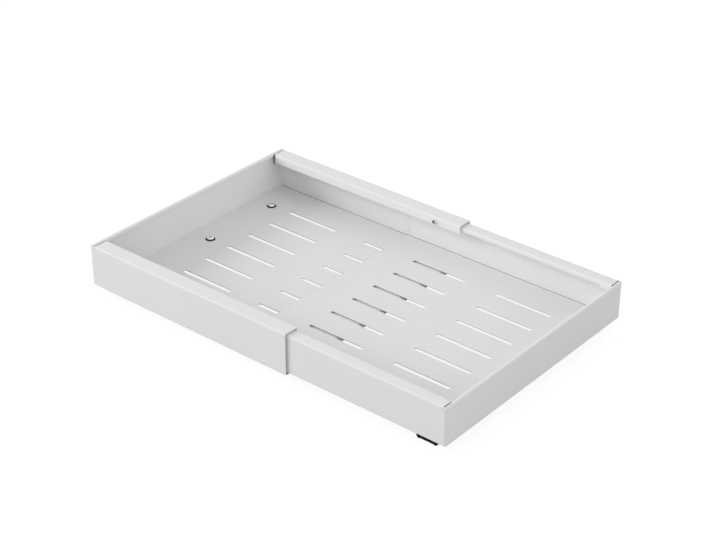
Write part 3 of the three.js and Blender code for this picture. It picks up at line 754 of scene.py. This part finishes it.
low, high = span("left_tray")
length, depth, height = high - low
foot_half = depth / 2 - FOOT_INSET
level = height - HEM_DROP
score_lines = SCORE["inset"] + SCORE["half_width"] * np.array([-0.5, 0, 0.5, 1])
lock_ticks = ticks(LOCK["from_end"], 0, LOCK["margin"])
slot_lines = [ticks(column, SLOT["straight"], SLOT["margin"]) for column in SLOT["columns"]]
screw_lines = ticks(SCREW_INSET, 0, SLOT["margin"])
row_lines = [ticks(row, 0, SLOT["margin"]) for row in SLOT_ROWS]
stub_end = LEFT_FLANGE["start"] - WALL_SLIT
xs = lines([FOOT_INSET, stub_end, LEFT_FLANGE["start"], LEFT_FLANGE["lip_start"]],
           length - EDGE_DIP["run"] * np.linspace(0, 1, 6), *slot_lines, screw_lines, lock_ticks)
half_ys = lines([EDGE_DIP["full_half"], EDGE_DIP["half"], LEFT_HEM["half"], foot_half],
                foot_half - score_lines)
ys = lines(-half_ys, half_ys, *row_lines)

flange = flange_line(level, height, LEFT_FLANGE["width"], LEFT_FLANGE["lip"])
flange_xs = xs[xs > LEFT_FLANGE["start"] - WELD]
lip_end = reach(flange)[-1]
lock_down = lip_end - (LOCK["height"] - (height - LEFT_FLANGE["lip"]))
lock_top = 2 * lock_down - lip_end
flat_end = reach(flange)[flange[:, 1] > height - HALF_SHEET - WELD].max()
hole_radius = COLLAR["radius"] + COLLAR["fillet"]
patches = [floor_sheet(xs, ys, EDGE_DIP["drop"]), wall_ring(xs, ys, level)]
patches += corner_posts(foot_half, level, height, xs[xs < stub_end + WELD])
(points, faces), (rim,) = rolled(
    flange, ticks(lock_down, 0, lip_end - lock_down), flange_xs,
    [((lock_down, LOCK["from_end"]), (0, 0), hole_radius,
      (lock_top, lip_end, LOCK["from_end"] - LOCK["margin"], LOCK["from_end"] + LOCK["margin"]))],
    [(flat_end, lip_end, LEFT_FLANGE["start"], LEFT_FLANGE["lip_start"])])
drawn = fold([(hole_radius, 0), (COLLAR["radius"], 0), (COLLAR["radius"], COLLAR["height"])],
             [COLLAR["fillet"]], COLLAR["steps"])
ray = (rim - (lock_down, LOCK["from_end"])) / hole_radius
collar = np.stack(np.broadcast_arrays(
    flange[-1, 0] - drawn[:, 1:], LOCK["from_end"] + drawn[:, :1] * ray[:, 1],
    LOCK["height"] - drawn[:, :1] * ray[:, 0]), -1)
strip = joined((points, faces), woven(collar, closed=True))
for sign in (-1, 1):
    out, along, rise = strip[0].T
    patches.append((np.column_stack([along, sign * (foot_half + out), rise]), strip[1]))
hem = hem_line(level, height, LEFT_HEM["width"], LEFT_HEM["inner_fold"])
patches.append(end_strip(ys[abs(ys) < LEFT_HEM["half"] + WELD], hem))
roll = hem[hem[:, 0] < WALL_OUT - FOLD_MIDDLE + WELD]
for sign in (-1, 1):
    patches.append(end_strip(sign * np.array([LEFT_HEM["half"], LEFT_HEM["roll_half"]]), roll))
offset = (low[0], 0, low[2])
left_coat = powder_coat("white_coat_left", low, high, LEFT_POCKET_SHADE)
left_tray = made("left_tray_sheet", joined(*patches), offset, left_coat, TRAY_SHEET, TRAY_EDGE_ROUND)
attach(left_tray, "left_half")
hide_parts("left_tray")

# Right tray half: the inner half, which slides in the left one and sets the drawer's width.
# The same coated sheet, a step smaller all round, with narrower flanges and a shallow lip.
# Its lip is deeper at the end corners, where a slit parts the flange from the hem of the end wall.
BEND_POINTS = 8
RIGHT_FLANGE = {"width": 14.8, "lip": 5.0, "start": 5.1}
RIGHT_HEM = {"width": 4.8, "inner_fold": 2.2, "clear": 0.4, "strip_edge": 3.2, "gap": 0.4, "roll": 0.8}
# Painted shade in the right half's corner pockets, and faintly along its open wall edge.
RIGHT_POCKET_SHADE = {"end": 4.7, "side": 14.9, "hem_side": 14.9, "deep": 8.0, "share": 1.0, "rim": 0.11}
DEEP_LIP = {"end": 20.0, "blend": 2.5, "drop": 3.0}
FLANGE_TAB = {"drop": 7.0, "inset": 1.6}

low, high = span("right_tray")
length, depth, height = high - low
foot_half = depth / 2 - FOOT_INSET
level = height - HEM_DROP
top = height - HALF_SHEET
lipped = flange_line(level, height, RIGHT_FLANGE["width"], RIGHT_FLANGE["lip"])
lipped = np.concatenate([lipped[:-BEND_POINTS], [(-FLANGE_TAB["inset"], top)], lipped[-BEND_POINTS:]])
hemmed = hem_line(level, height, RIGHT_HEM["width"], RIGHT_HEM["inner_fold"])
risen = hemmed[hemmed[:, 0] > hemmed[-BEND_POINTS, 0] - WELD]
strip = np.concatenate([risen, [(FOOT_INSET - RIGHT_HEM["strip_edge"], top)]])
hem_half = foot_half + lipped[-1, 0] - HALF_SHEET - RIGHT_HEM["clear"]
strip_end = foot_half - RIGHT_HEM["gap"]

stub_end = RIGHT_FLANGE["start"] - WALL_SLIT
deep_xs = DEEP_LIP["end"] - DEEP_LIP["blend"] * np.linspace(0, 1, 6)
xs = lines([FOOT_INSET, stub_end, RIGHT_FLANGE["start"], length - SCORE["from_end"], length],
           deep_xs, *slot_lines, screw_lines)
half_ys = lines([hem_half, strip_end, foot_half], foot_half - score_lines)
ys = lines(-half_ys, half_ys, *row_lines)
lip_xs = xs[xs > RIGHT_FLANGE["start"] - WELD]
strip_ys = half_ys[half_ys < strip_end + WELD]

lip_rise = np.tile(lipped[:, 1], (lip_xs.size, 1))
lip_rise[:, -1] -= DEEP_LIP["drop"] * smooth_step((DEEP_LIP["end"] - lip_xs) / DEEP_LIP["blend"])
tab_ys = foot_half + np.array([lipped[-BEND_POINTS, 0], -FLANGE_TAB["inset"]])
tab_rise = top - FLANGE_TAB["drop"] * np.linspace(0, 1, 4)
patches = [floor_sheet(xs, ys), wall_ring(xs, ys, level)]
patches += corner_posts(foot_half, level, height, xs[xs < stub_end + WELD])
patches.append(end_strip(ys[abs(ys) < hem_half + WELD], hemmed))
for sign in (-1, 1):
    patches.append(end_strip(sign * strip_ys, strip))
    patches.append(end_strip(sign * np.array([strip_end, foot_half + RIGHT_HEM["roll"]]), strip[-3:]))
    for parts in (
        (lip_xs[:, None], sign * (foot_half + lipped[:, 0]), lip_rise),
        (RIGHT_FLANGE["start"], sign * tab_ys[:, None], tab_rise),
    ):
        patches.append(woven(np.stack(np.broadcast_arrays(*parts), -1)))
points, faces = joined(*patches)
shape = (points * (-1, -1, 1), faces)
offset = (high[0], 0, low[2])
right_coat = powder_coat("white_coat_right", low, high, RIGHT_POCKET_SHADE)
right_tray = made("right_tray_sheet", shape, offset, right_coat, TRAY_SHEET, TRAY_EDGE_ROUND)
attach(right_tray, "right_half")
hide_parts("right_tray")

# Tray screws: three through each half's floor into the nuts under its drawer rail.
# Bright plated steel: a domed crown with a cross recess on a broad skirt that bears on the floor. The recess
# and the skirt's outer part are painted nearly black as shade.
# Turned round an axis; the recess is pressed into the crown, and the thread winds down the shank.
HEAD = {"height": 3.2, "crown_radius": 4.7, "crown_start": 1.9}
HEAD_ROWS = {"recess_radius": 2.7, "recess": 28, "dome_from": np.radians(36), "dome": 12}
SKIRT = np.array([
    (4.74, 1.75), (5.84, 0.62), (5.95, 0.45), (6.0, 0.3), (6.0, 0.12), (5.9, 0.0), (2.15, 0.0)])
CROSS = {"half_span": 2.5, "half_width": 0.62, "depth": 1.6, "taper": 0.18, "ramp": 1.0}
THREAD = {"radius": 2.0, "depth": 0.3, "pitch": 0.7, "rows": 8, "plain": 0.4, "tip": 0.5}
SCREW_TURNS = 64
# The plate's dark colour is painted shade, for the cross recess and the outer part of the skirt.
SCREW_PLATE = {"dull": (0.80, 0.81, 0.82), "bright": (0.92, 0.925, 0.93), "dark": (0.018, 0.018, 0.019)}
RECESS_SHADE = {"along": (1.7, 2.4), "across": (0.6, 0.8)}
SKIRT_SHADE = {"radius": (4.3, 4.5), "rise": (1.72, 1.86)}


def dome_with_cross(radius, angle):
    """Height of the crown: a quarter ellipse over its start, less the recess. The recess is deepest in the
    middle, rises to the ends of its arms, and its walls slope over a narrow taper."""
    rise = HEAD["height"] - HEAD["crown_start"]
    dome = HEAD["crown_start"] + rise * np.sqrt(np.maximum(1 - (radius / HEAD["crown_radius"]) ** 2, 0))
    x, y = abs(radius * np.cos(angle)), abs(radius * np.sin(angle))
    along, across = np.maximum(x, y), np.minimum(x, y)
    floor = np.clip((CROSS["half_span"] - along) / CROSS["ramp"], 0, 1)
    wall = np.clip((CROSS["half_width"] + CROSS["taper"] - across) / CROSS["taper"], 0, 1)
    return dome - CROSS["depth"] * floor * wall


def threaded(depths, angle, length):
    """Radius of a shank: less a triangle wave of depth over pitch plus turn, plain near the head and small
    at the tip."""
    wave = abs((depths / THREAD["pitch"] + angle / (2 * np.pi)) % 1 * 2 - 1)
    cut = np.clip((depths - THREAD["plain"]) / THREAD["pitch"], 0, 1)
    tip = np.clip((depths - length) / THREAD["tip"] + 1, 0, 1)
    return THREAD["radius"] - THREAD["depth"] * np.maximum(cut * wave, tip)


bright_plate, place = new_finish("bright_plated_screw")
x, y, z = axes(place)
off_x, off_y, from_axis = from_screw(x, y)
left_floor, right_floor = (span(f"{half}_tray")[0][2] + TRAY_SHEET for half in ("left", "right"))
above_floor = z - left_floor - (right_floor - left_floor) * x.math("GREATER_THAN", x, 0.0)
along, across = (off_x.size().math(way, off_x.size(), off_y.size()) for way in ("MAXIMUM", "MINIMUM"))
# Painted shade: the cross recess and the outer part of the skirt are coloured nearly black, and made less
# metallic and less glossy.
recess = (1 - along.between(*RECESS_SHADE["along"])) * (1 - across.between(*RECESS_SHADE["across"]))
skirt_shade = from_axis.between(*SKIRT_SHADE["radius"]) * (1 - above_floor.between(*SKIRT_SHADE["rise"]))
turning = turning_marks(from_axis, rise=z * 0.4, scale=7.0)
mottle = place.noise(scale=500, detail=2.0)
plate = (0.5 * turning + 0.5 * mottle).tint(SCREW_PLATE["dull"], SCREW_PLATE["bright"])
dark = skirt_shade + recess
surface(place, {
    "Base Color": dark.tint(plate, SCREW_PLATE["dark"]),
    "Metallic": 1 - 0.7 * dark,
    "Roughness": 0.24 + 0.10 * mottle + 0.08 * turning + 0.15 * dark,
    "Normal": (turning + 0.4 * mottle).relief(depth=0.012, strength=0.4),
})

angle = np.linspace(0, 2 * np.pi, SCREW_TURNS, endpoint=False)
dome_turn = np.linspace(HEAD_ROWS["dome_from"], np.pi / 2, HEAD_ROWS["dome"])
top_radii = np.concatenate([
    np.linspace(0, HEAD_ROWS["recess_radius"], HEAD_ROWS["recess"]),
    HEAD["crown_radius"] * np.sin(dome_turn)])[:, None]
for side in ("left", "right"):
    for row in SCREW_ROWS:
        low, high = span(f"{side}_tray_screw_{row}")
        shank = high[2] - low[2] - HEAD["height"]
        depths = np.arange(0, shank, THREAD["pitch"] / THREAD["rows"])[:, None]
        rows = np.concatenate([
            turned(top_radii, dome_with_cross(top_radii, angle), angle),
            turned(SKIRT[:, :1], SKIRT[:, 1:], angle),
            turned(threaded(depths, angle, shank), -depths, angle),
            turned(np.array([[THREAD["radius"] - THREAD["depth"]], [0]]), -shank, angle)])
        offset = foot(low, high) + (0, 0, shank)
        screw = made(f"{side}_domed_screw_{row}", woven(rows, closed=True), offset, bright_plate)
        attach(screw, f"{side}_half")
        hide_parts(f"{side}_tray_screw_{row}")

# Lock screws: one in each drawn collar of the left half's lips, pressing on the right half's lip.
# Headless steel screws, blackened, with a hexagon socket.
# Turned round an axis: socket, chamfered face, thread and chamfered tip, then laid along Y.
LOCK_SOCKET = {"flats": 2.3, "depth": 2.0, "cone": 0.5, "chamfer": 0.12, "chamfer_depth": 0.15}
LOCK_THREAD = {"radius": 2.3, "depth": 0.28, "pitch": 0.8, "step": 0.08, "start": 0.35, "end": 0.6}
LOCK_FACE_RADIUS = 1.95
LOCK_TIP = {"radius": 1.7, "flat_radius": 1.55, "chamfer": 0.25}
BLACK_OXIDE = {"deep": (0.27, 0.27, 0.275), "bloom": (0.38, 0.38, 0.385)}

black_oxide, place = new_finish("black_oxide")
bloom = place.noise(scale=900, detail=3.0)
fine = place.noise(scale=3000, detail=1.0)
surface(place, {
    "Base Color": bloom.tint(BLACK_OXIDE["deep"], BLACK_OXIDE["bloom"]),
    "Metallic": 0.85,
    "Roughness": 0.34 + 0.16 * bloom + 0.06 * fine,
    "Normal": (bloom + fine).relief(depth=0.01, strength=0.4),
})

socket = hexagon_radius(LOCK_SOCKET["flats"], angle)[None]
tip_radii = np.array([[LOCK_TIP["radius"]], [LOCK_TIP["flat_radius"]], [0.0]])
for row, sign in (("front", -1), ("back", 1)):
    low, high = span(f"lock_screw_{row}")
    long = high[1] - low[1]
    deep = LOCK_SOCKET["depth"]
    depths = np.arange(LOCK_THREAD["start"], long - LOCK_THREAD["end"], LOCK_THREAD["step"])[:, None]
    wave = abs((depths / LOCK_THREAD["pitch"] + angle / (2 * np.pi)) % 1 * 2 - 1)
    rows = np.concatenate([
        turned(np.zeros((1, 1)), deep + LOCK_SOCKET["cone"], angle),
        turned(socket, deep, angle), turned(socket, LOCK_SOCKET["chamfer_depth"], angle),
        turned(socket + LOCK_SOCKET["chamfer"], 0.0, angle),
        turned(np.full((1, 1), LOCK_FACE_RADIUS), 0.0, angle),
        turned(LOCK_THREAD["radius"] - LOCK_THREAD["depth"] * wave, depths, angle),
        turned(tip_radii, long - LOCK_TIP["chamfer"] * np.array([[1], [0], [0]]), angle)])
    laid = np.stack([rows[..., 0], sign * rows[..., 2], rows[..., 1]], -1)
    offset = (low + high) / 2 - (0, sign * long / 2, 0)
    lock = made(f"lock_grub_{row}", woven(laid, closed=True), offset, black_oxide)
    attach(lock, f"{row}_lock")
    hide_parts(f"lock_screw_{row}")

# Studio: a pale floor that carries the drawer's shadow, an even white surround, a broad soft lamp from the
# front left and a weaker one from the right.
# The floor shows white to the camera and in reflections, and only its upper face shows.
FLOOR_HALF = 12.0
FLOOR_GLOW = 0.9
FLOOR_TINT = 0.16
FLOOR_BOUNCE = 0.50
FLOOR_FIBRE = 0.01
SURROUND = 0.70
WHITE = (1, 1, 1, 1)
LAMPS = {
    "key_softbox": {"direction": (-0.8, -0.486, 0.36), "distance": 6.0, "size": 3.0, "power": 218.0},
    "side_softbox": {"direction": (0.95, -0.12, 0.25), "distance": 6.0, "size": 4.0, "power": 70.0},
}


def seen_directly(tree):
    """1 for rays from the camera and for what reflections and clear parts show, and 0 for other light."""
    path = tree.node("ShaderNodeLightPath", {}, {}).output.node
    camera_ray, glossy_ray, clear_ray = (
        Socket(tree.tree, path.outputs[f"Is {kind} Ray"]) for kind in ("Camera", "Glossy", "Transmission"))
    seen = camera_ray + glossy_ray + clear_ray
    return seen.math("MINIMUM", seen, 1.0)


def facing(sideways, upward, backward, place):
    """A matrix for an object at a place, with its X, Y and Z along the three directions."""
    return Matrix([*np.column_stack([sideways, upward, backward, place]).tolist(), (0, 0, 0, 1)])


corner = np.array([-FLOOR_HALF, FLOOR_HALF])
flat = np.stack(np.broadcast_arrays(corner[:, None], corner, 0.0), -1)
points, faces = woven(flat)
floor_mesh = bpy.data.meshes.new("studio_floor")
floor_mesh.from_pydata(points.tolist(), [], faces.tolist())
floor = shown("studio_floor", floor_mesh)
paper, place = new_finish("pale_paper")
fibre = place.noise(scale=260, detail=3.0)
glow = place.node("ShaderNodeEmission", {}, {"Color": WHITE, "Strength": FLOOR_GLOW})
matt = place.node("ShaderNodeBsdfDiffuse", {}, {"Color": (FLOOR_TINT, FLOOR_TINT, FLOOR_TINT, 1)})
lit = place.node("ShaderNodeAddShader", {}, {0: glow, 1: matt})
bounce = fibre.tint([FLOOR_BOUNCE - FLOOR_FIBRE] * 3, [FLOOR_BOUNCE + FLOOR_FIBRE] * 3)
plain_paper = place.node("ShaderNodeBsdfDiffuse", {}, {"Color": bounce})
upper = place.node("ShaderNodeMixShader", {}, {0: seen_directly(place), 1: plain_paper, 2: lit})
under_side = place.node("ShaderNodeNewGeometry", {}, {}, "Backfacing")
clear = place.node("ShaderNodeBsdfTransparent", {}, {})
both = place.node("ShaderNodeMixShader", {}, {0: under_side, 1: upper, 2: clear})
place.node("ShaderNodeOutputMaterial", {}, {"Surface": both})
floor_mesh.materials.append(paper)

world = bpy.data.worlds.new("white_surround")
bpy.context.scene.world = world
world.use_nodes = True
world.node_tree.nodes.clear()
sky = Socket(world.node_tree, None)
strength = SURROUND + (1 - SURROUND) * seen_directly(sky)
sky_light = sky.node("ShaderNodeBackground", {}, {"Color": WHITE, "Strength": strength})
sky.node("ShaderNodeOutputWorld", {}, {"Surface": sky_light})

for name, lamp in LAMPS.items():
    light = bpy.data.lights.new(name, "AREA")
    light.size = lamp["size"]
    light.energy = lamp["power"]
    towards = np.array(lamp["direction"]) / np.linalg.norm(lamp["direction"])
    sideways = np.cross([0, 0, 1], towards)
    sideways /= np.linalg.norm(sideways)
    softbox = shown(name, light)
    upward = np.cross(towards, sideways)
    softbox.matrix_world = facing(sideways, upward, towards, lamp["distance"] * towards)
    softbox.visible_camera = False

# Camera: the photograph's view, from the front right and above, with a long lens.
# Its place is an aim point in the tray, moved back along the view and a little right and up.
VIEW = {"azimuth": 39.682, "elevation": 30.205, "roll": 0.055}
AIM = np.array([0.0, 0.0, 35.0])
AWAY = {"back": 1938.4, "right": 6.18, "up": 13.18}
LENS = {"focal": 87.756, "sensor": 36.0, "far_end": 100.0}

azimuth, elevation, roll = np.radians([VIEW["azimuth"], VIEW["elevation"], VIEW["roll"]])
behind = np.array([
    np.sin(azimuth) * np.cos(elevation), -np.cos(azimuth) * np.cos(elevation), np.sin(elevation)])
rightward = np.array([np.cos(azimuth), np.sin(azimuth), 0.0])
upward = np.cross(behind, rightward)
eye = AIM + AWAY["back"] * behind + AWAY["right"] * rightward + AWAY["up"] * upward
rolled_right = np.cos(roll) * rightward + np.sin(roll) * upward
rolled_up = np.cos(roll) * upward - np.sin(roll) * rightward
view = bpy.data.cameras.new("photograph_view")
view.lens = LENS["focal"]
view.sensor_width = LENS["sensor"]
view.clip_end = LENS["far_end"]
camera = shown("photograph_view", view)
camera.matrix_world = facing(rolled_right, rolled_up, behind, eye * MM)
bpy.context.scene.camera = camera
bpy.context.scene.view_settings.view_transform = "Standard"
